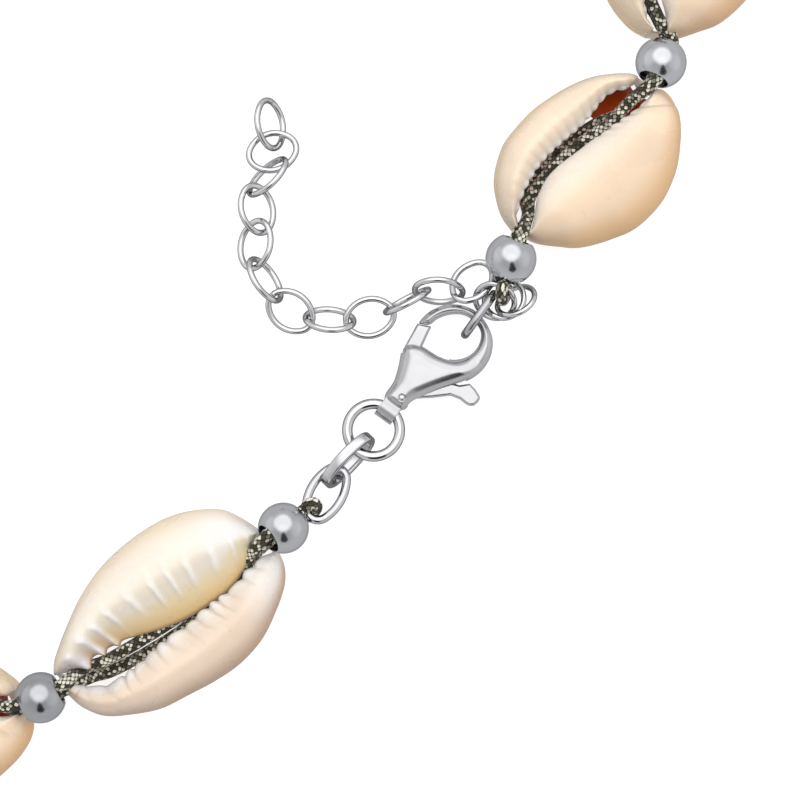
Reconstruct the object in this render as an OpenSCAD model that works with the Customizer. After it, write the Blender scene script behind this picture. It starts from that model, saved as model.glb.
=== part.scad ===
// Cowrie shell necklace. Cut cowries and small silver beads are threaded in turn on a doubled
// cord. A lobster clasp closes the loop, and an extender chain hangs from the far end of it.
// The necklace lies on a flat surface at z = 0, cut backs down and openings up, with the clasp
// at the front (-Y). Sizes are in millimetres.

/* [Loop] */
// Length of the loop, across the bead centres
loop_length = 130; // [110:1:156]
// Width of the loop, across the bead centres
loop_width = 88; // [74:1:106]
// Number of shells, with one bead more
shell_count = 15; // [13:1:17]
// Distance of the loop's middle behind the origin
loop_back = 2.5; // [0:0.5:5]

/* [Shells] */
// Height of a shell above its cut back
shell_height = 6.4; // [5.4:0.1:7.7]
// Thickness of the shell wall
shell_wall = 1; // [0.8:0.1:1.3]
// Half width of a slender shell, as a share of its length
slender_share = 0.33; // [0.28:0.01:0.38]
// Half width of a round shell, as a share of its length
round_share = 0.39; // [0.34:0.01:0.44]
// Depth of the teeth along the opening
tooth_depth = 0.35; // [0.2:0.05:0.5]
// How far a bead sinks between the lips at a shell's end
bead_nestle = 0.4; // [0.2:0.1:0.6]
// Gap between a bead and the shell that it sits against
seat_gap = 0.05; // [0.03:0.01:0.15]

/* [Beads] */
// Diameter of a bead
bead_d = 4.1; // [3.4:0.1:5]
// Diameter of the hole through a bead
bead_bore = 2.4; // [2.2:0.1:2.7]
// Height of the bead centres above the surface
bead_height = 3.3; // [3:0.1:4]

/* [Cord] */
// Diameter of one strand of the doubled cord
cord_d = 1; // [0.8:0.05:1.05]
// Gap between the two strands, and between a strand and the wire that it holds
cord_gap = 0.04; // [0.02:0.01:0.1]

/* [Chain] */
// Length of an extender link, outside
chain_l = 4.4; // [3.7:0.1:5.2]
// Width of an extender link, outside
chain_w = 3.5; // [3:0.1:4.2]
// Wire thickness of an extender link
chain_wire = 0.5; // [0.4:0.05:0.6]
// Outside diameter of the rings at the extender's end
end_ring_d = 3.6; // [3.4:0.1:4.2]
// Wire thickness of those rings
end_ring_wire = 0.4; // [0.35:0.05:0.5]

/* [Clasp side] */
// Length of the link that the cord holds, outside
cord_link_l = 5.3; // [4.6:0.1:6]
// Width of the link that the cord holds, outside
cord_link_w = 3.2; // [2.8:0.1:3.8]
// Wire thickness of the link that the cord holds
cord_link_wire = 0.62; // [0.5:0.02:0.7]
// Length of the band link, outside
band_link_l = 5.5; // [5:0.1:6.2]
// Width of the band link, outside
band_link_w = 3.3; // [3:0.1:3.8]
// Thickness of the band, from its inner to its outer side
band_thick = 0.5; // [0.4:0.05:0.6]
// Breadth of the band
band_broad = 0.9; // [0.8:0.05:1.1]
// Outside diameter of the jump ring in the clasp's eye
jump_ring_d = 5.1; // [4.6:0.1:5.6]
// Wire thickness of the jump ring
jump_ring_wire = 0.86; // [0.7:0.02:0.9]
// Length of the link that the clasp hooks into, outside
hook_link_l = 4.7; // [4.2:0.1:5.4]
// Width of the link that the clasp hooks into, outside
hook_link_w = 3.2; // [3:0.1:3.8]
// Wire thickness of the link that the clasp hooks into
hook_link_wire = 0.7; // [0.6:0.05:0.75]

/* [Clasp] */
// Thickness of the clasp's body
body_thick = 2.3; // [2.1:0.1:2.7]
// Thickness of the clasp's hook
hook_thick = 1.5; // [1.2:0.1:1.6]
// Thickness of the lever
lever_thick = 0.7; // [0.5:0.05:0.9]
// Gap on each side of the lever
lever_gap = 0.06; // [0.04:0.01:0.1]
// Diameter of the rivet
rivet_d = 0.5; // [0.4:0.05:0.7]
// Gap between the rivet and the lever, on the radius
rivet_gap = 0.04; // [0.02:0.01:0.08]
// Diameter of the hole in the clasp's eye
eye_bore = 1.24; // [1.1:0.02:1.4]
// Outside diameter of the clasp's eye
eye_d = 1.9; // [1.8:0.1:2.2]
// Width of the clasp's eye
eye_w = 1.65; // [1.4:0.05:1.9]
// Height of the middle of the clasp and its links above the surface
chain_height = 1.6; // [1.6:0.05:2]

/* [Hidden] */
$fn = 48;
silver = "silver";
half_length = loop_length / 2;
half_width = loop_width / 2;
bead_count = shell_count + 1;
// Where the curved stretch starts and ends, as angles of the ellipse
curve_start = -60.3;
curve_end = 233.4;
curve_steps = 120;

// Radius of a link's ends, as a share of half its width
oval_share = 0.75;
// Angle, times the radius, that is left open between two arcs of a link
seam = 1;

// The front of the loop, from which the clasp side is placed
front_y = -loop_back - half_width;

// Chosen points of the clasp side, measured from the front of the loop, in millimetres and
// degrees. A slope lifts the forward end, and a roll lifts the left side.
// The end beads: [x, y], height above the other beads, heading, slope
LAST_BEAD = [[-15.68, 3.32], 0, -14, -26];
FIRST_BEAD = [[12.52, 4.2], -0.2, 22, 8];
// Links and rings: [x, y], height, heading, slope, roll
CORD_LINK = [[-11.4, 2.6], 1.79, 12, -14, 0];
BAND_LINK = [[-8.23, 3.1], 1.73, -1, 0, 70];
JUMP_RING = [[-5.05, 3.2], 1.6, 5, 0, 0];
EYE_HEADING = 5;
CLASP_HEADING = 6.5;
HOOK_LINK = [[7.6, 3.1], 1.6, 6.5, 0, 90];
SECOND_BEAD_SLOPE = -15;

// Extender links, from the free end: [x, y], height, heading, slope, roll
CHAIN = [
    [[7.7, 25.9], 1.5, -130, 0, -50],
    [[6.2, 24.3], 1.3, 150, 5, 5],
    [[4.4, 23.2], 1.75, 175, -5, 60],
    [[1.9, 22.1], 1.6, -125, 0, -35],
    [[-0.3, 20.3], 1.5, -150, 0, 35],
    [[-1.9, 17.8], 1.65, -105, 0, -60],
    [[-2.4, 14.6], 1.55, -85, -5, 10],
    [[-0.8, 11.8], 1.6, -55, 5, -55],
    [[1.5, 9.5], 1.65, -35, 0, 10],
    [[4.5, 8.15], 1.75, -20, 0, -80],
    [[6.8, 6.8], 1.75, -55, -10, 55],
    [[9.2, 5.3], 1.45, 5, -20, -25],
];

// Outline and opening of each kind of shell, and how the cord lies in it.
// along: share of the length. The others are shares of the half width:
// left and right edge, middle and half width of the opening, upper and lower strand.
// along, left, right, opening, gap, upper, lower
SLENDER = [
    [0.00, 0.18, 0.20, 0.02, 0.15, 0.00, 0.00],
    [0.05, 0.32, 0.52, -0.06, 0.20, 0.00, -0.03],
    [0.10, 0.43, 0.66, -0.13, 0.22, -0.03, -0.10],
    [0.20, 0.63, 0.84, -0.16, 0.20, -0.07, -0.26],
    [0.35, 0.85, 0.97, -0.18, 0.13, -0.11, -0.32],
    [0.50, 0.95, 1.02, -0.23, 0.08, -0.15, -0.31],
    [0.65, 0.96, 1.03, -0.25, 0.07, -0.20, -0.29],
    [0.80, 0.84, 0.90, -0.19, 0.07, -0.16, -0.25],
    [0.90, 0.63, 0.68, -0.11, 0.12, -0.08, -0.12],
    [0.96, 0.40, 0.50, -0.05, 0.16, -0.06, -0.08],
    [1.00, 0.18, 0.24, -0.01, 0.18, 0.00, 0.00],
];
ROUND = [
    [0.00, 0.24, 0.14, 0.06, 0.14, 0.03, 0.03],
    [0.05, 0.52, 0.28, 0.12, 0.15, 0.09, 0.10],
    [0.10, 0.69, 0.48, 0.20, 0.14, 0.16, 0.19],
    [0.20, 0.86, 0.77, 0.31, 0.12, 0.29, 0.38],
    [0.35, 0.96, 0.95, 0.33, 0.10, 0.31, 0.41],
    [0.50, 0.93, 1.03, 0.25, 0.10, 0.22, 0.33],
    [0.65, 0.79, 0.98, 0.15, 0.12, 0.10, 0.21],
    [0.80, 0.57, 0.83, 0.07, 0.15, 0.03, 0.14],
    [0.90, 0.36, 0.65, 0.00, 0.14, 0.00, 0.08],
    [0.96, 0.20, 0.49, -0.02, 0.14, 0.00, 0.04],
    [1.00, 0.12, 0.26, -0.02, 0.14, 0.00, 0.00],
];
LEFT = 1;
RIGHT = 2;
OPENING = 3;
GAP = 4;
UPPER = 5;
LOWER = 6;

// Height of the lips along a shell, as a share of its height
// along, height
CREST = [
    [0.00, 0.28], [0.03, 0.60], [0.07, 0.78], [0.12, 0.90], [0.20, 0.96], [0.35, 1.00],
    [0.65, 1.00], [0.80, 0.96], [0.88, 0.90], [0.93, 0.78], [0.97, 0.60], [1.00, 0.28],
];
// Height of the shell's end under the cord, and of the two strands inside it
notch_share = 0.27;
upper_share = 0.49;
lower_share = 0.32;
// Distance of the opening from the shell's end, as a share of the length
end_share = 0.045;
// Across a lip from the opening to the outer edge, and the height there: share, share
LIP = [[0, 0.78], [0.28, 1], [0.7, 0.87], [1, 0.42]];
foot_share = 0.95;
shell_steps = 18;

// Outline of the clasp, from the hook's tip round the outside to the eye and back round the
// inside. The rivet is at the middle of the frame and the eye at -X.
CLASP_OUTLINE = [
    [5.85, 2.35], [7.1, 2.15], [8.4, 1.2], [9.1, -0.4], [8.9, -1.9], [8, -3.3], [6.4, -4],
    [4.5, -3.7], [2.2, -2.1], [0.3, -0.95], [-0.8, -0.6], [-0.8, 1.1], [0.7, 1.3], [1.9, 1.7],
    [3.2, 2.25], [3.95, 2], [4.4, 1], [4.5, -0.4], [4.9, -1.6], [5.8, -2.4], [6.9, -2.6],
    [7.9, -2.2], [8.35, -1.3], [8.3, -0.2], [7.7, 0.7], [6.35, 1.6],
];
// The part of the clasp that is the thick body
BODY_REACH = [[-1, -5], [5.2, -5], [5.4, -1.9], [4.7, -1.6], [4.7, 2.6], [-1, 2.6]];
// The slot that the lever swings in
LEVER_SLOT = [
    [0.3, 0.7], [3.2, 2], [3.5, 2.6], [5.4, 2.6], [4.9, 0], [4.75, -1.2],
    [4.3, -2.2], [3.9, -3], [4.3, -4.6], [-0.2, -4.6],
];
// The lever: the gate is at the far end, the thumb tab at the side
LEVER_OUTLINE = [
    [3.3, 1.85], [5.6, 2.2], [5.95, 1.45], [4.3, 1], [1.6, 0], [3.3, -2.5],
    [3.2, -3.2], [4.15, -3.95], [3.8, -5], [3, -5.1], [2.6, -4.4], [2.3, -3.3], [1.4, -2],
    [0.2, -0.5],
];
hub_wall = 0.2;
eye_x = -1.42;
eye_y = 0.28;

// The cord's bends round the cord link and the end rings: [x, y], height, heading, slope, lean
LAST_BEND = [[-13.51, 2.85], 2.31, -34, -28, 31];
FIRST_BEND = [[10.46, 3.03], 2.78, -146, -6, 13];

// Rings at the extender's end
// [x, y], height, heading, slope, roll
END_RINGS = [
    [[9.22, 2.9], 1.85, 0, 34, 10],
    [[9.85, 2.45], 1.7, 20, -10, -15],
    [[10.35, 1.65], 2.15, 150, -15, 50],
];

// Places along the loop

function loop_point(t) = [half_length * cos(t), half_width * sin(t) - loop_back];
function step_angle(i) = curve_start + (curve_end - curve_start) * i / curve_steps;
function step_length(i) = norm(loop_point(step_angle(i + 1)) - loop_point(step_angle(i)));

// Length along the curved stretch against the ellipse's angle
curve_table = [for (i = 0, s = 0; i <= curve_steps; s = s + step_length(i), i = i + 1) [s, step_angle(i)]];
curve_length = curve_table[curve_steps][0];

function curved_bead(i) =
    loop_point(lookup(curve_length * (i - 2) / (shell_count - 2), curve_table));
function front_point(p) = [p[0], front_y + p[1]];
function bead_xy(i) =
    i == 1 ? front_point(FIRST_BEAD[0]) :
    i == bead_count ? front_point(LAST_BEAD[0]) :
    curved_bead(i);
function bead_z(i) = bead_height + (i == 1 ? FIRST_BEAD[1] : i == bead_count ? LAST_BEAD[1] : 0);
function bead_at(i) = concat(bead_xy(i), [bead_z(i)]);
function direction_of(v) = atan2(v[1], v[0]);
function bead_heading(i) =
    i == 1 ? FIRST_BEAD[2] :
    i == bead_count ? LAST_BEAD[2] :
    direction_of(bead_xy(i + 1) - bead_xy(i - 1));
function bead_slope(i) =
    i == 1 ? FIRST_BEAD[3] :
    i == 2 ? SECOND_BEAD_SLOPE :
    i == bead_count ? LAST_BEAD[3] :
    i == shell_count ? 0 :
    8 * sin(137 * i);

// Shells

function is_round(i) = i % 4 == 1 || i % 4 == 2;
function shell_table(i) = is_round(i) ? ROUND : SLENDER;
function shell_span(i) = norm(bead_xy(i + 1) - bead_xy(i));
function shell_length(i) = shell_span(i) - bead_d + 2 * bead_nestle;
function shell_half(i) = shell_length(i) * (is_round(i) ? round_share : slender_share);
function shell_heading(i) = direction_of(bead_xy(i + 1) - bead_xy(i));
function column(table, n) = [for (row = table) [row[0], row[n]]];
function share(i, n, along) = lookup(along, column(shell_table(i), n)) * shell_half(i);

// Station j of one side of the opening, as a share of the length
function station(j) = (1 - cos(180 * j / shell_steps)) / 2;
function tooth(j) = j % 2 == 1 && j > 3 && j < shell_steps - 3 ? tooth_depth : 0;
function opening_x(i, along) = shell_length(i) * (end_share + (1 - 2 * end_share) * along);
function lip_edge(i, j, side) =
    [opening_x(i, station(j)), share(i, OPENING, station(j)) + side * (share(i, GAP, station(j)) + tooth(j))];
function outer_edge(i, j, side) =
    [shell_length(i) * station(j), side * share(i, side > 0 ? LEFT : RIGHT, station(j))];
function crest(along) = shell_height * lookup(along, CREST);

// One slice through a lip, from the opening over the top to the foot and back inside
function slice(inner, outer, top) =
    let (
        wide = norm(outer - inner),
        wall = min(shell_wall, wide / 3),
        roof = min(shell_wall, top / 3),
        at = function (f, z) concat(inner + f * (outer - inner), [z]),
        foot = foot_share - wall / wide
    )
    [
        for (p = LIP) at(p[0], p[1] * top),
        at(foot_share, -1),
        at(foot, -1),
        at(foot * 0.85, LIP[2][1] * top - roof),
        at(wall / wide * 0.2, LIP[0][1] * top - roof)
    ];

function side_slices(i, side, order) =
    [for (j = order) slice(lip_edge(i, j, side), outer_edge(i, j, side), crest(station(j)))];
function end_slice(i, along) =
    let (y = share(i, OPENING, along))
    slice([opening_x(i, along), y], [shell_length(i) * along, y], shell_height * notch_share);
function shell_slices(i) = concat(
    side_slices(i, 1, [0:shell_steps]),
    [end_slice(i, 1)],
    side_slices(i, -1, [shell_steps:-1:0]),
    [end_slice(i, 0)]
);

// Triangles between the slices of a closed ring, count slices of n points each
function ring_faces(count, n) = [
    for (k = [0:count - 1], m = [0:n - 1])
        let (
            next = (k + 1) % count,
            up = (m + 1) % n
        )
        each [[k * n + m, next * n + up, next * n + m], [k * n + m, k * n + up, next * n + up]]
];
function flat_list(lists) = [for (list = lists) each list];

module shell_form(i) {
    slices = shell_slices(i);
    polyhedron(flat_list(slices), ring_faces(len(slices), len(slices[0])));
}

module bead_seat(x, i) {
    translate([x, 0, bead_z(i)]) sphere(d = bead_d + 2 * seat_gap);
}

module shell(i) {
    reach = bead_d / 2 - bead_nestle;
    color(is_round(i) ? "moccasin" : "linen")
    translate(concat(bead_xy(i), [0]))
    rotate([0, 0, shell_heading(i)])
    difference() {
        translate([reach, 0, 0]) shell_form(i);
        translate([-loop_length, -loop_length, -2]) cube([3 * loop_length, 2 * loop_length, 2]);
        bead_seat(0, i);
        bead_seat(shell_span(i), i + 1);
    }
}

// Beads

module along_bead(i) {
    translate(bead_at(i)) rotate([0, 90 - bead_slope(i), bead_heading(i)]) children();
}

module bead(i) {
    color("lightsteelblue")
    along_bead(i)
    difference() {
        sphere(d = bead_d);
        cylinder(h = 2 * bead_d, d = bead_bore, center = true);
    }
}

// Cord

function heading_vector(a, slope) = [cos(a) * cos(slope), sin(a) * cos(slope), sin(slope)];
function left_of(a) = [-sin(a), cos(a), 0];

// From the lower strand to the upper one, seen along the string: a roll of 0 is to the left
function pair_roll(i) = i <= 2 ? 110 : i >= shell_count ? 60 : 90;
function pair_offset(i) =
    let (
        left = left_of(bead_heading(i)),
        up = cross(heading_vector(bead_heading(i), bead_slope(i)), left)
    )
    (left * cos(pair_roll(i)) + up * sin(pair_roll(i))) * (cord_d + cord_gap) / 2;

// Each stop of the route is a point and the heading of the string there.
// A strand through bead i: side is 1 for the upper strand and -1 for the lower one
function in_bead(i, side) =
    let (
        out = heading_vector(bead_heading(i), bead_slope(i)) * bead_d * 0.44,
        middle = bead_at(i) + side * pair_offset(i)
    )
    [for (end = [-1, 1]) [middle + end * out, bead_heading(i)]];

// A strand through shell i
strand_stops = [0.08, 0.2, 0.5, 0.8, 0.92];
function in_shell(i, side) =
    let (
        a = shell_heading(i),
        reach = bead_d / 2 - bead_nestle,
        height = shell_height * (side > 0 ? upper_share : lower_share),
        start = [bead_xy(i)[0], bead_xy(i)[1], height]
    )
    [
        for (s = strand_stops)
            let (
                x = reach + opening_x(i, s),
                y = share(i, side > 0 ? UPPER : LOWER, s)
            )
            [start + x * heading_vector(a, 0) + y * left_of(a), a]
    ];

// The bend round the wires beyond an end bead, from the upper strand down to the lower one.
// A lean moves the upper strand to the string's left
function bend(row, along, wires) =
    let (
        out = heading_vector(row[2], row[3]),
        up = cross(out, left_of(row[2])) + tan(row[4]) * left_of(along),
        r = (wires + cord_d) / 2 + 2 * cord_gap,
        middle = concat(front_point(row[0]), [row[1]])
    )
    [for (angle = [90:-45:-90]) [middle + r * (cos(angle) * out + sin(angle) * up), along]];

function reversed(list) = [for (k = [len(list) - 1:-1:0]) list[k]];
function strand(side) = concat(
    [for (i = [1:shell_count]) each concat(in_bead(i, side), in_shell(i, side))],
    in_bead(bead_count, side)
);
cord_route = concat(
    strand(1),
    bend(LAST_BEND, LAST_BEND[2], cord_link_wire + cord_gap),
    reversed(strand(-1)),
    reversed(bend(FIRST_BEND, FIRST_BEND[2] + 180, 2 * end_ring_wire))
);

cord_sides = 8;
function unit(v) = v / norm(v);
function cord_ring(route, k) =
    let (
        n = len(route),
        here = route[k][0],
        ahead = unit(unit(route[(k + 1) % n][0] - here) + unit(here - route[(k + n - 1) % n][0])),
        up = unit(cross(ahead, left_of(route[k][1]))),
        across = cross(up, ahead),
        step = 360 / cord_sides
    )
    [for (s = [1:cord_sides]) here + (cos(s * step) * across - sin(s * step) * up) * cord_d / 2];

module cord() {
    rings = [for (k = [0:len(cord_route) - 1]) cord_ring(cord_route, k)];
    color("darkolivegreen") polyhedron(flat_list(rings), ring_faces(len(rings), cord_sides));
}

// Links and rings

// Part of a ring lying flat, with its middle at heading 0
module arc(r, angle, wire, broad) {
    rotate([0, 0, -angle / 2])
    rotate_extrude(angle = angle) translate([r, 0]) {
        if (broad > 0) square([wire, broad], center = true);
        else circle(d = wire);
    }
}

// An oval link lying flat, long along X, of two tight end arcs and two wide side arcs
module oval_link(l, w, wire, broad = 0, share = oval_share) {
    long = (l - wire) / 2;
    short = (w - wire) / 2;
    end_r = short * share;
    reach = long - end_r;
    rise = short - end_r;
    middle = (reach * reach - rise * rise) / (2 * rise);
    side_r = middle + short;
    half_angle = atan2(reach, middle);
    for (turn = [0, 180]) rotate([0, 0, turn]) {
        translate([reach, 0, 0]) arc(end_r, 180 - 2 * half_angle - seam / end_r, wire, broad);
        translate([0, -middle, 0]) rotate([0, 0, 90])
            arc(side_r, 2 * half_angle - seam / side_r, wire, broad);
        for (side = [-1, 1]) translate([0, -side * middle, 0]) rotate([0, 0, side * (90 - half_angle)])
            translate([side_r, 0, 0]) joint(wire, broad);
    }
}

// The arcs of a link stop just short of each other inside a small ball, or a block in a band
module joint(wire, broad) {
    if (broad > 0) cube([wire + 0.02, 0.08, broad + 0.02], center = true);
    else sphere(d = wire + 0.03);
}

// row: [x, y], height, heading, slope, roll
module lie_at(row) {
    translate(concat(front_point(row[0]), [row[1]]))
    rotate([0, 0, row[2]]) rotate([0, -row[3], 0]) rotate([row[4], 0, 0])
    children();
}

module ring(d, wire) {
    rotate_extrude() translate([(d - wire) / 2, 0]) circle(d = wire);
}

module cord_link() {
    color(silver)
    lie_at(CORD_LINK)
    oval_link(cord_link_l, cord_link_w, cord_link_wire);
}

module band_link() {
    color(silver)
    lie_at(BAND_LINK)
    oval_link(band_link_l, band_link_w, band_thick, band_broad);
}

module jump_ring() {
    color(silver) lie_at(JUMP_RING) ring(jump_ring_d, jump_ring_wire);
}

module hook_link() {
    color(silver)
    lie_at(HOOK_LINK)
    oval_link(hook_link_l, hook_link_w, hook_link_wire, share = 0.9);
}

module end_ring(n) {
    color(silver) lie_at(END_RINGS[n - 1]) ring(end_ring_d, end_ring_wire);
}

module chain_link(n) {
    color(silver) lie_at(CHAIN[n - 1]) oval_link(chain_l, chain_w, chain_wire);
}

// Clasp

// A closed smooth curve through chosen points, with a number of steps from each to the next
function curve_point(p, k, t) =
    let (
        n = len(p),
        a = p[(k + n - 1) % n],
        b = p[k],
        c = p[(k + 1) % n],
        d = p[(k + 2) % n]
    )
    (2 * b + (c - a) * t + (2 * a - 5 * b + 4 * c - d) * t * t + (3 * b - a - 3 * c + d) * t * t * t) / 2;
function smooth(p, steps) = [for (k = [0:len(p) - 1], s = [0:steps - 1]) curve_point(p, k, s / steps)];

lever_hub = rivet_d / 2 + rivet_gap + hub_wall;
ring_reach = (jump_ring_d - jump_ring_wire) / 2;
// The ring's wire curves inside the eye, so the eye sits a little inside the wire's far side
eye_reach = ring_reach - 0.08;
eye_place = front_point(JUMP_RING[0]) + eye_reach * [cos(EYE_HEADING), sin(EYE_HEADING)];
ahead = [cos(CLASP_HEADING), sin(CLASP_HEADING)];
aside = [-sin(CLASP_HEADING), cos(CLASP_HEADING)];
rivet_place = eye_place - eye_x * ahead - eye_y * aside;

module in_clasp() {
    translate(concat(rivet_place, [chain_height])) rotate([0, 0, CLASP_HEADING]) children();
}

// The round end of the lever or of its slot, from below the rivet back to above it
function hub_arc(r, start) = [for (a = [start:-20:-260]) r * [cos(a), sin(a)]];

module slab(thick) {
    linear_extrude(height = thick, center = true) children();
}

module clasp_body() {
    color(silver)
    in_clasp()
    difference() {
        union() {
            slab(hook_thick) polygon(smooth(CLASP_OUTLINE, 3));
            slab(body_thick) intersection() {
                polygon(smooth(CLASP_OUTLINE, 3));
                polygon(BODY_REACH);
            }
            translate([eye_x, eye_y, 0]) rotate([90, 0, 0]) cylinder(h = eye_w, d = eye_d, center = true);
        }
        slab(lever_thick + 2 * lever_gap)
            polygon(concat(LEVER_SLOT, hub_arc(lever_hub + lever_gap, -120)));
        cylinder(h = 2 * body_thick, d = rivet_d, center = true);
        translate([eye_x, eye_y, 0]) rotate([90, 0, 0]) cylinder(h = 2 * eye_w, d = eye_bore, center = true);
    }
}

module clasp_lever() {
    color("gainsboro")
    in_clasp()
    difference() {
        slab(lever_thick) polygon(concat(LEVER_OUTLINE, hub_arc(lever_hub, -80)));
        cylinder(h = 2 * body_thick, r = rivet_d / 2 + rivet_gap, center = true);
    }
}

module clasp_rivet() {
    color("darkgray") in_clasp() cylinder(h = body_thick, d = rivet_d, center = true);
}

// Pieces

function numbered(name, n) = str(name, n < 10 ? "0" : "", n);

for (i = [1:shell_count]) {
    shell(i);
}
for (i = [1:bead_count]) {
    bead(i);
}
for (n = [1:len(CHAIN)]) {
    chain_link(n);
}
cord();
cord_link();
band_link();
jump_ring();
clasp_body();
clasp_lever();
clasp_rivet();
hook_link();
end_ring(1);  // end_ring_1
end_ring(2);  // end_ring_2
end_ring(3);  // end_ring_3
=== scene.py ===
import math

import bpy
import numpy as np
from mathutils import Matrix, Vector


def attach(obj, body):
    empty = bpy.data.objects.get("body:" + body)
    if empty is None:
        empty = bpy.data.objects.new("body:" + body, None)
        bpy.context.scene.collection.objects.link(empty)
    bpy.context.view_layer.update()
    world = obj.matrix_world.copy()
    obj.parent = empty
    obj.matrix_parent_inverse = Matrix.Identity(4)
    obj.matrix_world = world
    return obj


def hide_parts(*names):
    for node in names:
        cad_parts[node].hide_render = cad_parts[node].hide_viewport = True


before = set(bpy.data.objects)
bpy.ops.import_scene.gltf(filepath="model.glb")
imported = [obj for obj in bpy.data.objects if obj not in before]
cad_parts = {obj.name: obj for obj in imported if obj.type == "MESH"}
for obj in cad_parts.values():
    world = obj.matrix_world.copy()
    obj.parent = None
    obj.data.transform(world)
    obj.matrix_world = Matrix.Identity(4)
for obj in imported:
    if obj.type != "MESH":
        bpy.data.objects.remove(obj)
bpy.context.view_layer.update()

MM = 0.001
FRONT_Y = -46.5  # the front of the loop, where the clasp lies
COUNT = 15  # shells, with one bead more
BEAD_R = 2.05
BEAD_BORE_R = 1.2
BEAD_SEAT_R = 2.13  # shells stay this far from a bead's centre
BEAD_NESTLE = 0.4  # how far a bead sinks between the lips of a shell
SHELL_TOP = 6.4
SHELL_RISE = 6.36  # height of the lips, without their ridges
CORD_D = 0.99
CORD_POINTS = 3500
STRAND_SHIFT = 0.52  # from a bead's middle to each of its two strands
BRAID_THREADS = 7  # cells of the braid round the cord


def srgb(r, g, b):
    c = np.array([r, g, b], float) / 255
    return np.where(c <= 0.04045, c / 12.92, ((c + 0.055) / 1.055) ** 2.4)


# ---------------------------------------------------------------- small geometry tools


def spin(axis, a):
    """Matrix of a turn by a degrees."""
    k = "XYZ".index(axis)
    m, u, v = np.eye(3), (k + 1) % 3, (k + 2) % 3
    m[u, u] = m[v, v] = math.cos(math.radians(a))
    m[v, u] = math.sin(math.radians(a))
    m[u, v] = -m[v, u]
    return m


def unit(v):
    return v / np.linalg.norm(v, axis=-1, keepdims=True)


def smoothstep(a, b, x):
    t = np.clip((np.asarray(x, float) - a) / (b - a), 0, 1)
    return t * t * (3 - 2 * t)


def spline(points, closed=False, fine=16):
    """Points of a Catmull-Rom curve through the given ones."""
    p = np.asarray(points, float)
    n = len(p)
    if closed:
        q = np.vstack([p[-1:], p, p[:2]])
        spans = n
    else:
        q = np.vstack([2 * p[:1] - p[1:2], p, 2 * p[-1:] - p[-2:-1]])
        spans = n - 1
    t = np.arange(fine)[:, None] / fine
    out = []
    for k in range(spans):
        a, b, c, d = q[k], q[k + 1], q[k + 2], q[k + 3]
        out.append(
            (2 * b + (c - a) * t + (2 * a - 5 * b + 4 * c - d) * t**2 + (3 * b - a - 3 * c + d) * t**3) / 2
        )
    out = np.vstack(out)
    return out if closed else np.vstack([out, p[-1:]])


def evenly(points, count, closed=False):
    """The same curve as a number of points at equal distances."""
    p = np.asarray(points, float)
    if closed:
        p = np.vstack([p, p[:1]])
    s = np.concatenate([[0], np.cumsum(np.linalg.norm(np.diff(p, axis=0), axis=1))])
    at = np.linspace(0, s[-1], count, endpoint=not closed)
    return np.stack([np.interp(at, s, p[:, i]) for i in range(p.shape[1])], 1)


def smooth_noise(rng, knots):
    """A gentle random curve from 0 to 1 with values about -1 to 1."""
    values = rng.uniform(-1, 1, knots)
    return lambda x: np.interp(np.asarray(x) * (knots - 1), np.arange(knots), values)


# ---------------------------------------------------------------- making pieces


def add_object(name, data):
    obj = bpy.data.objects.new(name, data)
    bpy.context.scene.collection.objects.link(obj)
    return obj


def make_piece(name, verts_mm, faces, material, body="necklace"):
    mesh = bpy.data.meshes.new(name)
    mesh.from_pydata((np.asarray(verts_mm) * MM).tolist(), [], faces)
    mesh.polygons.foreach_set("use_smooth", [True] * len(mesh.polygons))
    mesh.update()
    obj = add_object(name, mesh)
    mesh.materials.append(material)
    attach(obj, body)
    return obj


def grid_faces(rows, cols, close_rows, close_cols):
    r = np.arange(rows if close_rows else rows - 1)
    c = np.arange(cols if close_cols else cols - 1)
    r, c = [x.ravel() for x in np.meshgrid(r, c, indexing="ij")]
    r2, c2 = (r + 1) % rows, (c + 1) % cols
    return np.stack([r * cols + c, r2 * cols + c, r2 * cols + c2, r * cols + c2], 1)


def paint(obj, colours):
    layer = obj.data.color_attributes.new("shade", "FLOAT_COLOR", "POINT")
    rgba = np.ones((len(colours), 4), np.float32)
    rgba[:, :3] = colours
    layer.data.foreach_set("color", rgba.ravel())


def sweep(path, section, up_hint=None):
    """A closed section carried along a closed path, without a jump in its turn where the path closes."""
    n = len(path)
    ahead = unit(np.roll(path, -1, 0) - np.roll(path, 1, 0))
    if up_hint is not None:
        side = unit(np.cross(up_hint, ahead))
        up = np.cross(ahead, side)
    else:
        up = np.zeros_like(path)
        start = np.array([0.0, 0, 1])
        if abs(ahead[0] @ start) > 0.9:
            start = np.array([1.0, 0, 0])
        u = unit(start - ahead[0] * (ahead[0] @ start))
        up[0] = u
        for k in range(1, n):
            u = unit(u - ahead[k] * (u @ ahead[k]))
            up[k] = u
        last = unit(u - ahead[0] * (u @ ahead[0]))
        angle = math.atan2(np.cross(last, up[0]) @ ahead[0], last @ up[0])
        for k in range(n):
            a = angle * k / n
            up[k] = up[k] * math.cos(a) + np.cross(ahead[k], up[k]) * math.sin(a)
        side = np.cross(up, ahead)
    verts = path[:, None] + section[None, :, :1] * side[:, None] + section[None, :, 1:] * up[:, None]
    return verts.reshape(-1, 3)


def circle_section(d, sides):
    a = np.arange(sides) * 2 * math.pi / sides
    return np.stack([np.cos(a), np.sin(a)], 1) * d / 2


# ---------------------------------------------------------------- materials


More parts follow.
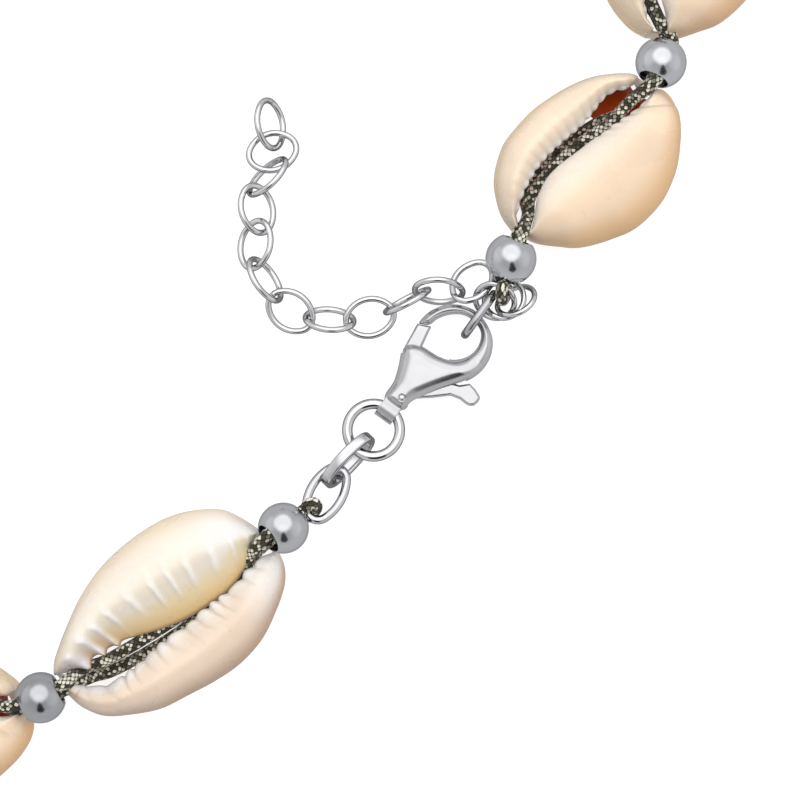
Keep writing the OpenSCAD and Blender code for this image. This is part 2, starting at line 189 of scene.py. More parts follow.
class Nodes:
    """The emptied node tree of a material or a world, with short ways to fill it."""

    def __init__(self, owner):
        owner.use_nodes = True
        self.tree = owner.node_tree
        self.tree.nodes.clear()

    def add(self, kind, inputs=None, **props):
        node = self.tree.nodes.new(kind)
        for key, value in props.items():
            setattr(node, key, value)
        for key, value in (inputs or {}).items():
            self.set(node, key, value)
        return node

    def set(self, node, key, value):
        socket = node.inputs[key]
        if isinstance(value, bpy.types.NodeSocket):
            self.tree.links.new(value, socket)
        else:
            socket.default_value = value

    def math(self, op, a, b=None, c=None):
        inputs = {k: v for k, v in enumerate([a, b, c]) if v is not None}
        return self.add("ShaderNodeMath", inputs, operation=op).outputs[0]

    def mix(self, kind, factor, a, b):
        inputs = {0: factor, 6: a, 7: b}
        return self.add("ShaderNodeMix", inputs, data_type="RGBA", blend_type=kind).outputs[2]

    def ramp(self, value, stops):
        """A ramp of grey levels: place and level of each stop."""
        node = self.add("ShaderNodeValToRGB", {"Fac": value})
        ramp = node.color_ramp
        while len(ramp.elements) < len(stops):
            ramp.elements.new(0.5)
        for element, (at, level) in zip(ramp.elements, stops):
            element.position = at
            element.color = (level, level, level, 1)
        return node.outputs[0]

    def principled(self, inputs):
        bsdf = self.add("ShaderNodeBsdfPrincipled", inputs)
        self.add("ShaderNodeOutputMaterial", {"Surface": bsdf.outputs[0]})


def shell_material(name, seed):
    m = bpy.data.materials.new(name)
    n = Nodes(m)
    shade = n.add("ShaderNodeVertexColor", layer_name="shade").outputs[0]
    place = n.add("ShaderNodeTexCoord").outputs["Object"]
    place = n.add("ShaderNodeMapping", {"Vector": place, "Location": (seed, seed * 0.7, 0)}).outputs[0]
    cloud = n.add("ShaderNodeTexNoise", {"Vector": place, "Scale": 260.0, "Detail": 4.0, "Roughness": 0.55})
    tone = n.ramp(cloud.outputs[0], [(0.3, 0.85), (0.7, 0.92)])
    colour = n.mix("MULTIPLY", 1.0, shade, tone)
    pits = n.add("ShaderNodeTexNoise", {"Vector": place, "Scale": 900.0, "Detail": 2.0})
    dots = n.ramp(pits.outputs[0], [(0.76, 0.0), (0.80, 1.0)])
    colour = n.mix("MIX", n.math("MULTIPLY", dots, 0.35), colour, (*srgb(232, 190, 140), 1))
    fine = n.add("ShaderNodeTexNoise", {"Vector": place, "Scale": 2200.0, "Detail": 3.0})
    bump = n.add("ShaderNodeBump", {"Strength": 0.12, "Distance": 0.00004, "Height": fine.outputs[0]})
    wave = n.add("ShaderNodeBump", {"Strength": 0.25, "Distance": 0.00012, "Height": cloud.outputs[0]})
    n.set(bump, "Normal", wave.outputs[0])
    rough = n.math("MULTIPLY_ADD", cloud.outputs[0], 0.16, 0.2)
    n.principled({
        "Base Color": colour, "Roughness": rough, "Normal": bump.outputs[0], "IOR": 1.5,
        "Subsurface Weight": 0.12, "Subsurface Scale": 0.0006, "Subsurface Radius": (1.0, 0.6, 0.4),
        "Coat Weight": 0.35, "Coat Roughness": 0.12,
    })
    return m


def silver_material(name, base, rough, brushed=0.0, painted_dark_reflection=1.0):
    m = bpy.data.materials.new(name)
    n = Nodes(m)
    place = n.add("ShaderNodeTexCoord").outputs["Object"]
    cloud = n.add("ShaderNodeTexNoise", {"Vector": place, "Scale": 500.0, "Detail": 3.0})
    fine = n.add("ShaderNodeTexNoise", {"Vector": place, "Scale": 1200.0, "Detail": 4.0, "Roughness": 0.6})
    tarnish = n.ramp(cloud.outputs[0], [(0.35, 0.93), (0.6, 1.0)])
    colour = n.mix("MULTIPLY", 1.0, (*base, 1), tarnish)
    if painted_dark_reflection < 1:
        # painted dark reflection: the flanks of a thin wire, half turned from facing up, are darkened to
        # stand in for the dark lines that polished wire reflects
        normal = n.add("ShaderNodeNewGeometry").outputs["Normal"]
        facing_up = n.math("ABSOLUTE", n.add("ShaderNodeSeparateXYZ", {"Vector": normal}).outputs[2])
        flank = n.ramp(facing_up, [(0.0, 1.0), (0.22, painted_dark_reflection), (0.5, painted_dark_reflection), (0.68, 1.0)])
        colour = n.mix("MULTIPLY", 1.0, colour, flank)
    strength = 0.08 + brushed
    bump = n.add("ShaderNodeBump", {"Strength": strength, "Distance": 0.00002, "Height": fine.outputs[0]})
    rough = n.math("MULTIPLY_ADD", cloud.outputs[0], 0.06, rough - 0.03)
    n.principled({"Base Color": colour, "Metallic": 1.0, "Roughness": rough, "Normal": bump.outputs[0]})
    return m


def cord_material():
    """A braid of paler and darker threads: diamond cells, in pairs along one way or the other. The pale
    colour sits on the crowns of some cells, partly thread colour and partly painted glints; the grooves
    between cells are painted shade, near black.
    """
    m = bpy.data.materials.new("braided_cord")
    n = Nodes(m)
    uv = n.add("ShaderNodeUVMap", uv_map="UVMap").outputs[0]
    xyz = n.add("ShaderNodeSeparateXYZ", {"Vector": uv})
    u, v = xyz.outputs[0], xyz.outputs[1]
    sway = n.add("ShaderNodeTexNoise", {"Vector": uv, "Scale": 0.9, "Detail": 1.0})
    sway = n.math("MULTIPLY_ADD", sway.outputs[0], 0.7, -0.35)
    a = n.math("ADD", n.math("ADD", u, v), sway)
    b = n.math("SUBTRACT", n.math("SUBTRACT", u, v), n.math("MULTIPLY", sway, 0.7))
    cell_a, cell_b = n.math("FLOOR", a), n.math("FLOOR", b)
    pair_a = n.math("FLOOR", n.math("MULTIPLY", a, 0.5))
    pair_b = n.math("FLOOR", n.math("MULTIPLY", b, 0.5))
    in_a, in_b = n.math("FRACT", a), n.math("FRACT", b)
    hump_a = n.math("SINE", n.math("MULTIPLY", in_a, math.pi))
    hump_b = n.math("SINE", n.math("MULTIPLY", in_b, math.pi))
    height = n.math("MULTIPLY", hump_a, hump_b)
    parity = n.math("PINGPONG", n.math("ADD", cell_a, cell_b), 1.0)
    along = n.add("ShaderNodeMix", {0: parity, 2: in_a, 3: in_b}, data_type="FLOAT")
    fibres = n.math("SINE", n.math("MULTIPLY", along.outputs[0], 19.0))
    key_a = n.add("ShaderNodeCombineXYZ", {"X": cell_a, "Y": pair_b, "Z": 0.0}).outputs[0]
    key_b = n.add("ShaderNodeCombineXYZ", {"X": pair_a, "Y": cell_b, "Z": 7.0}).outputs[0]
    key = n.add("ShaderNodeMix", {0: parity, 4: key_a, 5: key_b}, data_type="VECTOR")
    pick = n.add("ShaderNodeTexWhiteNoise", {"Vector": key.outputs[1]}, noise_dimensions="3D")
    # painted glints: pale colour on the crowns of the picked cells, partly the threads' own colour and partly
    # painted highlight
    light = n.ramp(pick.outputs[0], [(0.36, 0.0), (0.5, 0.3), (0.64, 1.0)])
    edge = n.ramp(height, [(0.12, 0.0), (0.3, 1.0)])
    lines = n.ramp(fibres, [(0.05, 0.8), (0.45, 1.0)])
    mask = n.math("MULTIPLY", n.math("MULTIPLY", light, edge), lines)
    # painted shade: the threads turn near black in the grooves between cells
    dark = n.mix("MIX", edge, (*srgb(6, 5, 2), 1), (*srgb(62, 57, 36), 1))
    colour = n.mix("MIX", mask, dark, (*srgb(255, 252, 232), 1))
    thread = n.ramp(fibres, [(0.0, 0.72), (0.8, 1.0)])
    colour = n.mix("MULTIPLY", 0.4, colour, thread)
    total = n.math("ADD", height, n.math("MULTIPLY", fibres, 0.12))
    bump = n.add("ShaderNodeBump", {"Strength": 0.9, "Distance": 0.00012, "Height": total})
    n.principled({"Base Color": colour, "Roughness": 0.72, "Normal": bump.outputs[0],
                  "Sheen Weight": 0.1, "Sheen Roughness": 0.5})
    return m


bead_silver = silver_material("bead_silver", (0.74, 0.75, 0.78), 0.17)
# painted shade: darker copies of the same bead silver, for beads 15 and 16
shaded_bead_silver = silver_material("shaded_bead_silver", (0.58, 0.59, 0.62), 0.17)
half_shaded_bead_silver = silver_material("half_shaded_bead_silver", (0.71, 0.72, 0.75), 0.17)
# wire, link and bar silver get painted dark reflections on their flanks
wire_silver = silver_material("wire_silver", (0.90, 0.90, 0.92), 0.06, painted_dark_reflection=0.3)
link_silver = silver_material("link_silver", (0.80, 0.80, 0.83), 0.10, painted_dark_reflection=0.35)
bar_silver = silver_material("bar_silver", (0.64, 0.64, 0.67), 0.20, painted_dark_reflection=0.4)
clasp_silver = silver_material("clasp_silver", (0.71, 0.71, 0.73), 0.2, 0.05)

# ---------------------------------------------------------------- where the beads are

BEADS = {
    1: (12.52, -42.3, 3.1), 2: (32.205, -40.72, 3.3), 3: (50.331, -30.343, 3.3),
    4: (62.828, -13.779, 3.3), 5: (63.543, 6.765, 3.3), 6: (51.949, 23.946, 3.3),
    7: (34.192, 34.921, 3.3), 8: (14.018, 40.465, 3.3), 9: (-6.898, 41.252, 3.3),
    10: (-27.464, 37.379, 3.3), 11: (-46.316, 28.371, 3.3), 12: (-60.66, 13.308, 3.3),
    13: (-64.678, -6.874, 3.3), 14: (-55.503, -25.4, 3.3), 15: (-38.755, -37.824, 3.3),
    16: (-15.68, -43.18, 3.3),
}
BEADS = {k: np.array(v) for k, v in BEADS.items()}


def heading(v):
    return math.degrees(math.atan2(v[1], v[0]))


def bead_heading(i):
    if i == 1:
        return 22
    if i == 16:
        return -14
    return heading(BEADS[i + 1] - BEADS[i - 1])


def bead_slope(i):
    return {1: 8, 2: -15, 16: -26, 15: 0}.get(i, 8 * math.sin(math.radians(137 * i)))


def shell_span(i):
    return float(np.linalg.norm((BEADS[i + 1] - BEADS[i])[:2]))


def shell_heading(i):
    return heading(BEADS[i + 1] - BEADS[i])


def is_round(i):
    return i % 4 in (1, 2)


# ---------------------------------------------------------------- shells

# The two kinds of shell, seen from above, from the middle of one bead to the middle of the next
SLENDER = {
    "span": 23.69,
    "outer_left": [(1.75, 1.0), (2.4, 1.8), (3.2, 2.4), (4.7, 3.4), (7.1, 4.8), (9.8, 5.8), (12.5, 6.2),
                   (15.2, 6.2), (17.2, 5.8), (19.0, 5.0), (20.4, 4.0), (21.1, 2.9), (21.6, 1.7), (21.8, 1.0)],
    "outer_right": [(1.5, -1.1), (1.7, -1.8), (2.2, -2.9), (3.2, -4.2), (4.8, -5.2), (7.2, -6.3),
                    (9.7, -6.7), (12.2, -7.0), (14.6, -7.0), (17.1, -6.4), (19.3, -5.2), (20.8, -4.1),
                    (21.5, -3.3), (21.9, -2.5), (22.1, -1.5)],
    "slot_left": [(2.15, 0.62), (3.3, 0.38), (4.2, 0.08), (4.7, 0.02), (5.3, 0.25), (6.5, 0.2),
                  (8.0, 0.0), (8.8, -0.2), (10.5, -0.8), (12.4, -1.3), (14.4, -1.6), (16.3, -1.6),
                  (17.6, -1.5), (18.8, -1.1), (20.0, -0.5), (21.0, 0.2), (21.6, 0.7)],
    "slot_right": [(2.8, -0.7), (3.7, -1.6), (5.0, -2.3), (6.3, -2.5), (8.0, -2.4), (9.4, -2.2),
                   (11.1, -2.1), (12.5, -2.1), (14.3, -1.9), (15.6, -1.85), (17.1, -1.7), (18.5, -1.5),
                   (19.7, -1.25), (20.8, -1.1), (21.8, -1.1)],
}
ROUND = {
    "span": 19.75,
    "outer_left": [(2.0, 1.4), (2.4, 2.7), (3.2, 3.9), (4.2, 4.9), (5.5, 5.6), (7.1, 6.1), (8.8, 6.1),
                   (10.6, 5.9), (12.3, 5.4), (14.0, 4.7), (15.5, 3.8), (16.7, 2.7), (17.7, 1.6), (18.1, 0.9)],
    "outer_right": [(2.2, 0.0), (2.3, -0.6), (2.6, -1.4), (3.3, -2.6), (4.0, -3.7), (5.1, -4.7), (6.4, -5.6),
                    (7.8, -6.4), (9.4, -6.8), (11.2, -6.9), (12.8, -6.6), (14.2, -6.1), (15.6, -5.3),
                    (16.9, -4.4), (17.9, -3.4), (18.4, -2.4), (18.5, -1.5), (18.2, -0.9)],
    "slot_left": [(2.4, 1.1), (3.0, 1.8), (4.1, 2.3), (5.6, 2.65), (7.1, 2.8), (8.6, 2.7), (10.2, 2.4),
                  (11.6, 2.1), (13.1, 1.98), (14.0, 1.98), (14.9, 1.9), (15.7, 1.55), (16.4, 1.0),
                  (17.2, 0.6)],
    "slot_right": [(2.6, 0.1), (3.1, 0.25), (3.9, 0.65), (5.0, 1.25), (6.2, 1.55), (7.1, 1.6), (8.2, 1.45),
                   (9.1, 1.2), (10.0, 0.95), (11.3, 0.6), (12.4, 0.15), (13.8, -0.3), (15.2, -0.7),
                   (16.4, -0.9), (17.3, -0.95)],
}

# Section of a lip: share of the way from the slot's rim to the outline, share of the height
SECTIONS = {
    ("slender", 1): [(0.0, 0.60), (0.10, 0.70), (0.22, 0.80), (0.34, 0.90), (0.46, 0.98), (0.56, 1.0),
                     (0.70, 0.96), (0.84, 0.82), (0.94, 0.62), (1.0, 0.40), (0.995, 0.2)],
    ("slender", -1): [(0.0, 0.66), (0.06, 0.78), (0.16, 0.89), (0.30, 0.97), (0.44, 1.0), (0.60, 0.96),
                      (0.76, 0.85), (0.90, 0.66), (0.985, 0.42), (0.99, 0.2)],
    ("round", 1): [(0.0, 0.72), (0.08, 0.84), (0.20, 0.94), (0.36, 1.0), (0.54, 0.98), (0.72, 0.88),
                   (0.87, 0.71), (0.96, 0.52), (1.0, 0.34), (0.99, 0.18)],
    ("round", -1): [(0.0, 0.72), (0.05, 0.84), (0.14, 0.94), (0.28, 1.0), (0.46, 0.99), (0.64, 0.93),
                    (0.80, 0.80), (0.92, 0.62), (0.99, 0.40), (0.99, 0.18)],
}


def section_curve(kind, side, count):
    """Outside of a lip, from under its rim over the top to the foot, then back inside."""
    top = SECTIONS[kind, side]
    rim = top[0][1]
    outside = [(0.035, rim - 0.13), (0.0, rim - 0.06)] + top + [(0.955, 0.0)]
    inside = [(0.80, 0.0), (0.79, 0.30), (0.68, 0.60), (0.48, 0.74)]
    inside += [(0.26, rim - 0.02), (0.10, rim - 0.14)]
    a = evenly(spline(outside), int(count * 0.74))
    b = evenly(spline([outside[-1]] + inside + [outside[0]]), count - len(a) + 2)[1:-1]
    mask = np.concatenate([np.zeros(len(a)), np.ones(len(b))])
    return np.vstack([a, b]), mask


def pulse(phase, sharp=1.0):
    """Rounded ridges with narrow grooves between them, 0 to 1, one per whole phase."""
    t = np.abs((phase % 1.0) - 0.5) * 2
    return 1 - t ** (2 * sharp)


def back_wall(grow):
    """What is left of a round shell's back inside its far end: a thin bowed sheet."""
    n = 26
    xs, ys = np.linspace(13.2, 16.9, n), np.linspace(-1, 1, n)
    x, y = np.meshgrid(xs, ys, indexing="ij")
    wide = 3.2 - 0.45 * (x - 12.6)
    z = 0.45 + 0.9 * y**2 + 0.10 * (x - 12.6)
    front = 0.3 * np.abs(y) ** 2
    top = np.stack([(x + front) * grow, (0.6 - 0.16 * (x - 12.6) + y * wide) * grow, z], 2).reshape(-1, 3)
    below = top - np.array([0, 0, 0.3])
    faces = grid_faces(n, n, False, False)
    count = len(top)
    ring = list(range(n)) + [k * n + n - 1 for k in range(1, n)]
    ring += [(n - 1) * n + k for k in range(n - 2, -1, -1)] + [k * n for k in range(n - 2, 0, -1)]
    ring = np.array(ring)
    after = np.roll(ring, -1)
    side = np.stack([ring, after, after + count, ring + count], 1)
    shade = srgb(214, 98, 28) * (1 - 0.45 * smoothstep(0.2, 1.0, np.abs(y)))[..., None]
    shade = shade.reshape(-1, 3)
    faces = np.vstack([faces, faces[:, ::-1] + count, side[:, ::-1]])
    return np.vstack([top, below]), faces, np.vstack([shade, shade])


def make_shell(i):
    kind = "round" if is_round(i) else "slender"
    form = ROUND if is_round(i) else SLENDER
    # the shells in the photo are the finest, and the hidden ones each differ a little
    fine = {15: 250, 1: 250, 14: 150, 2: 150}.get(i, 96)
    around = {15: 84, 1: 84, 14: 60, 2: 60}.get(i, 46)
    rng = np.random.default_rng(100 + i)
    length = shell_span(i)
    grow = length / form["span"]
    bridge = 14  # rows that join the two lips at each end
    ends = {}
    for side in (1, -1):
        word = "left" if side > 0 else "right"
        inner = evenly(spline(form["slot_" + word]), fine) * grow
        outer = evenly(spline(form["outer_" + word]), fine) * grow
        if i not in (1, 15):
            wobble = smooth_noise(rng, 7)
            t = np.linspace(0, 1, fine)
            outer[:, 1] += side * 0.18 * wobble(t) * np.sin(np.pi * t)
        ends[side] = (inner, outer)

    def rise(x):
        t = np.clip((x - 1.7 * grow) / (length - 3.4 * grow), 0, 1)
        near, far = np.clip(t / 0.2, 0, 1), np.clip((1 - t) / 0.2, 0, 1)
        return (0.34 + 0.66 * np.sqrt(1 - (1 - near) ** 2)) * (0.34 + 0.66 * np.sqrt(1 - (1 - far) ** 2))

    def side_rows(side):
        inner, outer = ends[side]
        section, inside = section_curve(kind, side, around)
        wide = np.linalg.norm(outer - inner, axis=1)[:, None]
        s = np.concatenate([[0], np.cumsum(np.linalg.norm(np.diff(inner, axis=0), axis=1))])
        along = (s / s[-1])[:, None]
        x_mid = ((inner[:, 0] * 0.6 + outer[:, 0] * 0.4) / grow)[:, None]
        f = section[:, 0][None]
        z = section[:, 1][None]
        # the teeth fade out towards the ends
        fade = smoothstep(0, 0.06, along) * smoothstep(1, 0.95, along)
        out_mm = f * wide
        outside = 1 - inside[None]
        if kind == "slender" and side > 0:
            fan = 0.28 - 0.5 * (x_mid / 22)
            phase = (x_mid + fan * out_mm * 1.1) / 1.66 + 0.15 * np.sin(x_mid * 0.9)
            band = smoothstep(0.16, 0.36, f) * smoothstep(0.70, 0.42, f)
            low_end = smoothstep(9.5, 6.0, x_mid)
            band = np.maximum(band, low_end * smoothstep(0.56, 0.30, f))
            crest = np.exp(-(((phase % 1.0) - 0.5) / (0.13 + 0.08 * low_end)) ** 2)
            ridge = crest * band * fade
            tooth = crest * low_end * fade
            lift = (0.026 + 0.030 * low_end) * ridge
            reach = 0.40 * tooth * smoothstep(0.20, 0.0, f) * fade
        elif kind == "slender":
            fan = -0.75 + 0.4 * (x_mid / 22)
            drift = 0.30 * np.sin(x_mid * 0.71 + 1.0) + 0.16 * np.sin(x_mid * 1.9)
            phase = (x_mid + drift + fan * out_mm) / 1.38
            size = 0.75 + 0.25 * np.sin(x_mid * 1.3)
            ridge = pulse(phase, 1.6) * smoothstep(1.9, 0.2, out_mm) * fade * size
            lift = 0.040 * ridge
            reach = 0.34 * pulse(phase) * smoothstep(0.16, 0.0, f) * fade * size
        elif side > 0:
            phase = (x_mid - 0.1 * out_mm) / 0.90
            ridge = pulse(phase, 0.8) * smoothstep(1.8, 0.3, out_mm) * fade
            lift = 0.013 * ridge
            reach = 0.15 * pulse(phase, 0.8) * smoothstep(0.08, 0.0, f) * fade
        else:
            far = smoothstep(11.5, 14.5, x_mid)
            phase = (x_mid - 0.3 * out_mm) / 1.05
            ridge = pulse(phase) * smoothstep(1.4, 0.2, out_mm) * fade * (0.12 + 0.88 * far)
            lift = 0.018 * ridge
            reach = 0.26 * pulse(phase, 0.8) * smoothstep(0.08, 0.0, f) * fade * (0.06 + 0.94 * far)
        share = f - reach / wide
        xy = inner[:, None] + share[..., None] * (outer - inner)[:, None]
        x = xy[..., 0]
        up = np.minimum(rise(inner[:, 0]), rise(outer[:, 0]))[:, None] * 0.35 + rise(x) * 0.65
        zz = (z + lift * outside * (z > 0.1)) * up * SHELL_RISE
        points = np.concatenate([xy, np.clip(zz, 0, SHELL_TOP - 0.02)[..., None]], 2)
        f, z, inside = [np.broadcast_to(v, x.shape) for v in (f, z, inside[None])]
        return points, (f, x / grow, inside, z, ridge, out_mm)

    def bridge_rows(from_rows, to_rows):
        out = []
        for k in range(1, bridge + 1):
            t = k / (bridge + 1)
            w = 0.5 - 0.5 * math.cos(math.pi * t)
            row = from_rows * (1 - w) + to_rows * w
            row[:, 2] *= 1 - 0.55 * math.sin(math.pi * t) ** 0.8
            out.append(row)
        return np.array(out)

    left, left_info = side_rows(1)
    right, right_info = side_rows(-1)
    far = bridge_rows(left[-1], right[-1])
    near = bridge_rows(right[0], left[0])
    points = np.vstack([left, far, right[::-1], near])

    def blend(a, b, t):
        t = t[..., None]
        return a * (1 - t) + b * t

    def colour(info, side):
        f, x, inside, z, ridge, out = info
        if kind == "slender" and side > 0:
            gold = blend(srgb(234, 200, 138), srgb(246, 228, 190), smoothstep(0.0, 0.30, f))
            wider = 0.2 * smoothstep(17.5, 21.5, x)
            golden = smoothstep(0.36 + wider, 0.24 + wider, f)
            golden = golden * smoothstep(23.5, 21.0, x) * smoothstep(4, 9, x)
            # painted shade: the grooves between the ridges are tinted darker tan
            groove_shade = (1 - ridge) * smoothstep(0.2, 0.34, f) * smoothstep(0.66, 0.5, f)
            pale = smoothstep(0.30 + wider, 0.42 + wider, f) * smoothstep(1.05, 0.8, f)
            low = smoothstep(9.5, 6.0, x)
            tints = [
                (srgb(243, 224, 196), smoothstep(0.75, 1.0, f)),
                (gold, golden),
                (srgb(240, 226, 200), groove_shade * 0.30),
                (srgb(255, 253, 250), ridge * 0.6),
                (srgb(248, 246, 247), smoothstep(16, 21.5, x) * 0.75 * pale),
                # painted shade: tan in the grooves between the teeth at the low end
                (srgb(226, 190, 146), low * (1 - ridge) * smoothstep(0.5, 0.1, f) * 0.85),
                (srgb(246, 242, 246), low * ridge * 0.9),
                (srgb(244, 240, 244), smoothstep(5.6, 4.4, x) * smoothstep(0.55, 0.2, f) * 0.9),
                (srgb(230, 205, 165), smoothstep(5.5, 2.5, x) * 0.55 * smoothstep(0.4, 0.9, f)),
            ]
        elif kind == "slender":
            between = (1 - ridge) * smoothstep(2.0, 1.2, out) * smoothstep(0.1, 0.5, out)
            tints = [
                (srgb(246, 222, 200), smoothstep(0.1, 0.4, f)),
                # painted shade: the outer part of the right lip is made darker and browner, deepening its tan
                # colour
                (srgb(204, 168, 136), smoothstep(0.62, 1.0, f)),
                (srgb(252, 249, 246), smoothstep(0.8, 0.1, out)),
                (srgb(236, 214, 192), between * 0.8),
                (srgb(250, 249, 249), smoothstep(16.5, 22, x) * 0.75 * smoothstep(1.0, 0.7, f)),
            ]
        elif side > 0:
            tints = [
                (srgb(252, 231, 206), smoothstep(0.05, 0.3, f)),
                (srgb(240, 212, 172), smoothstep(0.72, 1.0, f)),
                (srgb(255, 252, 248), smoothstep(0.35, 0.05, out)),
                (srgb(238, 208, 172), (1 - ridge) * smoothstep(1.2, 0.5, out) * 0.35),
            ]
        else:
            tints = [
                (srgb(251, 224, 194), smoothstep(0.02, 0.4, f)),
                # the outer part of the right lip is orange, partly the shell's colour and partly painted
                # shade that deepens it
                (srgb(234, 186, 128), smoothstep(0.60, 1.0, f)),
                (srgb(255, 250, 242), smoothstep(0.25, 0.05, out)),
            ]
        base = srgb(250, 240, 226)
        for tint, t in tints:
            base = blend(base, tint, t)
        dark = srgb(205, 92, 26) if kind == "round" else srgb(190, 160, 118)
        under = np.maximum(inside, smoothstep(0.05, 0.0, f) * smoothstep(0.70, 0.60, z) * (z > 0.2))
        return blend(base, dark, np.clip(under, 0, 1))

    shades = [colour(left_info, 1), None, colour(right_info, -1)[::-1], None]
    shades[1] = np.linspace(shades[0][-1], shades[2][0], bridge + 2)[1:-1]
    shades[3] = np.linspace(shades[2][-1], shades[0][0], bridge + 2)[1:-1]
    shades = np.vstack(shades)

    # the shell keeps clear of its two beads
    for centre in (np.array([0, 0, BEADS[i][2]]), np.array([length, 0, BEADS[i + 1][2]])):
        away = points - centre
        low = np.minimum(away[..., 2], 0)
        least = np.sqrt(np.maximum(BEAD_SEAT_R**2 - low**2, 0))
        flat = np.linalg.norm(away[..., :2], axis=2)
        push = np.maximum(1, least / np.maximum(flat, 1e-6))
        points[..., :2] = centre[:2] + away[..., :2] * push[..., None]
    points[..., 2] = np.clip(points[..., 2], 0, SHELL_TOP - 0.01)

    faces = grid_faces(len(points), points.shape[1], True, True)[:, ::-1]
    points = points.reshape(-1, 3)
    shades = shades.reshape(-1, 3)
    if kind == "round":
        tongue, tongue_faces, tongue_shades = back_wall(grow)
        faces = np.vstack([faces, tongue_faces + len(points)])
        points = np.vstack([points, tongue])
        shades = np.vstack([shades, tongue_shades])
    turn = spin("Z", shell_heading(i))
    world = points @ turn.T + BEADS[i] * [1, 1, 0]
    material = shell_material(f"cowrie_{kind}_{i:02d}", i * 0.013)
    obj = make_piece(f"cowrie_{i:02d}", world, faces.tolist(), material)
    paint(obj, np.clip(shades * rng.uniform(0.97, 1.0), 0, 1))
    obj.visible_glossy = False
    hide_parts(f"shell_{i:02d}")


for i in range(1, COUNT + 1):
    make_shell(i)

# ---------------------------------------------------------------- beads


def make_bead(i):
    r, bore = BEAD_R, BEAD_BORE_R
    edge = 0.09  # rounding of the bore's mouths
    start = math.asin((bore + edge) / r)
    angles = np.linspace(start, math.pi - start, 44)
    profile = [(r * math.sin(a), r * math.cos(a)) for a in angles]
    z = profile[0][1]
    inner = np.linspace(-z + edge * 0.6, z - edge * 0.6, 10)
    profile += [(bore + edge * 0.35, -z - edge * 0.05), (bore + 0.01, -z + edge * 0.25)]
    profile += [(bore, h) for h in inner]
    profile += [(bore + 0.01, z - edge * 0.25), (bore + edge * 0.35, z + edge * 0.05)]
    profile = np.array(profile)
    n = 72
    a = np.arange(n) * 2 * math.pi / n
    points = np.stack(
        [profile[None, :, 0] * np.cos(a)[:, None], profile[None, :, 0] * np.sin(a)[:, None],
         np.broadcast_to(profile[None, :, 1], (n, len(profile)))], 2)
    turn = spin("Z", bead_heading(i)) @ spin("Y", 90 - bead_slope(i))
    world = points.reshape(-1, 3) @ turn.T + BEADS[i]
    faces = grid_faces(n, len(profile), True, True)[:, ::-1]
    # painted shade: beads 15 and 16 take darker copies of the bead silver
    material = {15: shaded_bead_silver, 16: half_shaded_bead_silver}.get(i, bead_silver)
    obj = make_piece(f"silver_bead_{i:02d}", world, faces.tolist(), material)
    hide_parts(f"bead_{i:02d}")


for i in range(1, COUNT + 2):
    make_bead(i)

# ---------------------------------------------------------------- cord

# How the two strands lie in a shell, round or not: share of its length, and of its half width for each
SHARES = {
    False: [[0.0, 0.03, 0.0], [0.05, 0.02, -0.1], [0.1, -0.02, -0.18], [0.2, -0.09, -0.245],
            [0.35, -0.11, -0.32], [0.5, -0.15, -0.31], [0.65, -0.2, -0.29], [0.8, -0.16, -0.25],
            [0.9, -0.08, -0.12], [0.96, -0.06, -0.08], [1.0, 0.0, 0.0]],
    True: [[0.0, 0.03, 0.03], [0.05, 0.115, 0.1], [0.1, 0.195, 0.19], [0.2, 0.29, 0.38],
           [0.35, 0.31, 0.41], [0.5, 0.22, 0.33], [0.7, 0.075, 0.18], [0.8, 0.03, 0.05],
           [0.9, 0.0, 0.02], [0.96, 0.0, 0.0], [1.0, 0.0, 0.0]],
}
CORD_END = 0.045  # share of a shell's length before its opening begins


def across(a):
    a = math.radians(a)
    return np.array([-math.sin(a), math.cos(a), 0])


def ahead_of(a, slope):
    a, slope = math.radians(a), math.radians(slope)
    return np.array([math.cos(a) * math.cos(slope), math.sin(a) * math.cos(slope), math.sin(slope)])


def pair_offset(i):
    roll = math.radians(110 if i <= 2 else 60 if i >= COUNT else 90)
    left = across(bead_heading(i))
    up = np.cross(ahead_of(bead_heading(i), bead_slope(i)), left)
    return (left * math.cos(roll) + up * math.sin(roll)) * STRAND_SHIFT


def strand(side):
    """Points of one strand through the whole string: straight in each bead, bowed in each shell."""
    stops = []
    for i in range(1, COUNT + 2):
        out = ahead_of(bead_heading(i), bead_slope(i)) * 2 * BEAD_R * 0.44
        middle = BEADS[i] + side * pair_offset(i)
        stops += [middle - out, middle + out]
        if i > COUNT:
            break
        turn = spin("Z", shell_heading(i))
        reach = BEAD_R - BEAD_NESTLE
        length = shell_span(i) - 2 * reach
        half = length * (0.39 if is_round(i) else 0.33)
        table = np.array(SHARES[is_round(i)])
        for s in (0.08, 0.2, 0.5, 0.7, 0.8, 0.92) if is_round(i) else (0.08, 0.2, 0.5, 0.8, 0.92):
            x = reach + length * (CORD_END + (1 - 2 * CORD_END) * s)
            y = half * float(np.interp(s, table[:, 0], table[:, 1 if side > 0 else 2]))
            z = SHELL_TOP * (0.49 if side > 0 else 0.32)
            stops.append(turn @ np.array([x, y, 0]) + np.array([BEADS[i][0], BEADS[i][1], z]))
    return stops


def bend(place, z, row_heading, slope, lean, along, wires):
    """The fold of the cord round what it holds, wires thick, from its upper strand to its lower one."""
    out = ahead_of(row_heading, slope)
    up = np.cross(out, across(row_heading)) + math.tan(math.radians(lean)) * across(along)
    r = (wires + 1) / 2 + 0.08
    middle = np.array([place[0], FRONT_Y + place[1], z])
    angles = np.radians([90, 45, 0, -45, -90])
    return [middle + r * (math.cos(a) * out + math.sin(a) * up) for a in angles]


